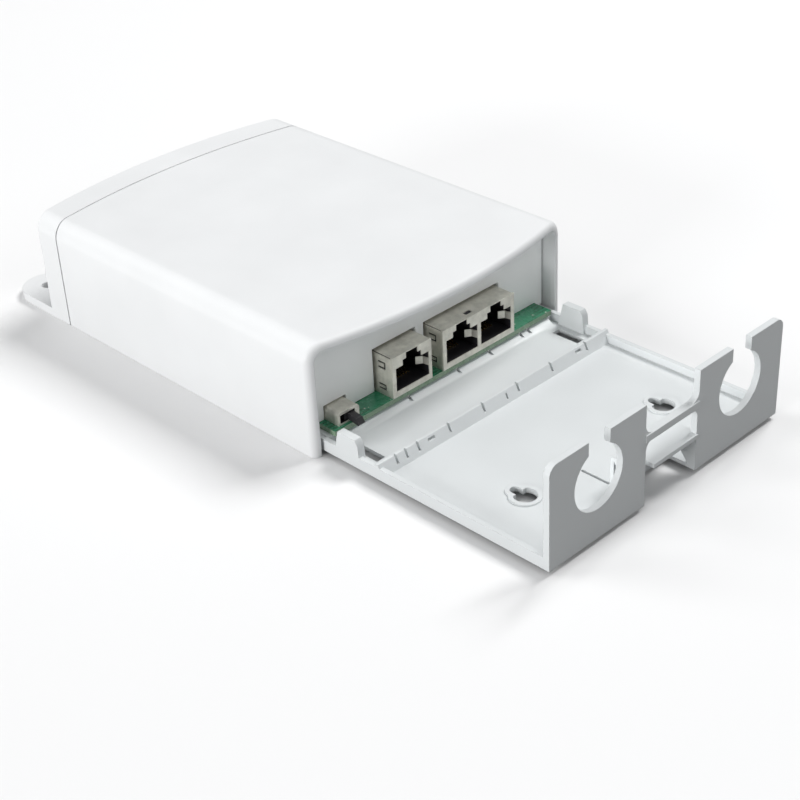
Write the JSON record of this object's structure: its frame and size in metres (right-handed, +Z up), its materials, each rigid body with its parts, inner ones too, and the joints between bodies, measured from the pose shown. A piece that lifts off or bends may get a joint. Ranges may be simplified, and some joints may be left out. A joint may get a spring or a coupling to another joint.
{
  "type": "outdoor poe repeater",
  "caption": "Slim white outdoor box with a sliding cable drawer: board with shielded network jacks and a slide switch behind a bulkhead, cable holes in the end wall, and wall ears.",
  "frame": {"origin": "centre of the footprint, on the surface that the sleeve stands on, with the drawer drawn out", "axes": "+X across the box to the right seen from the cable end, +Y from the cable end to the wall ears, +Z up through the roof"},
  "size_m": [0.1052, 0.234, 0.036],
  "materials": {
    "shell_plastic": "fine satin white ABS",
    "tray_plastic": "fine satin white ABS",
    "board_green": "green solder mask, glossy",
    "tinned_steel": "dull warm tinned steel sheet",
    "zinc_screw": "zinc plated",
    "bright_tin": "bright tin plated",
    "black_plastic": "moulded black thermoplastic",
    "chip_black": "moulded epoxy, matt",
    "gold_contact": "gold flash on phosphor bronze",
    "capacitor_sleeve": "shrink sleeve, glossy dark blue",
    "ceramic_tan": "fired ceramic",
    "ferrite_grey": "ferrite, matt"
  },
  "bodies": {
    "housing": {"housing_sleeve": "shell_plastic", "rear_cap": "shell_plastic"},
    "drawer": {"cable_tray": "tray_plastic", "port_panel": "tray_plastic", "circuit_board": "board_green", "board_screws": "zinc_screw", "single_jack_shield": "tinned_steel", "single_jack_insert": "black_plastic", "single_jack_contacts": "gold_contact", "dual_jack_shield": "tinned_steel", "dual_jack_insert": "black_plastic", "dual_jack_contacts": "gold_contact", "switch_shell": "tinned_steel", "switch_base": "black_plastic", "switch_terminals": "bright_tin", "lan_transformers": "chip_black", "switch_chip": "chip_black", "pse_controller": "chip_black", "pd_controller": "chip_black", "chip_leads": "bright_tin", "crystal": "bright_tin", "bridge_rectifiers": "chip_black", "electrolytic_caps": "capacitor_sleeve", "power_inductor": "ferrite_grey", "buck_regulator": "chip_black", "surge_diodes": "chip_black", "ceramic_caps": "ceramic_tan", "chip_resistors": "chip_black", "solder_pins": "bright_tin"},
    "switch_slider": {"switch_lever": "black_plastic"}
  },
  "joints": [
    {"name": "drawer_slide", "type": "slide", "parent": "housing", "child": "drawer", "axis": [0, 1, 0], "range_m": [0, 0.0836]},
    {"name": "switch_slide", "type": "slide", "parent": "drawer", "child": "switch_slider", "axis": [-1, 0, 0], "range_m": [0, 0.002]}
  ]
}
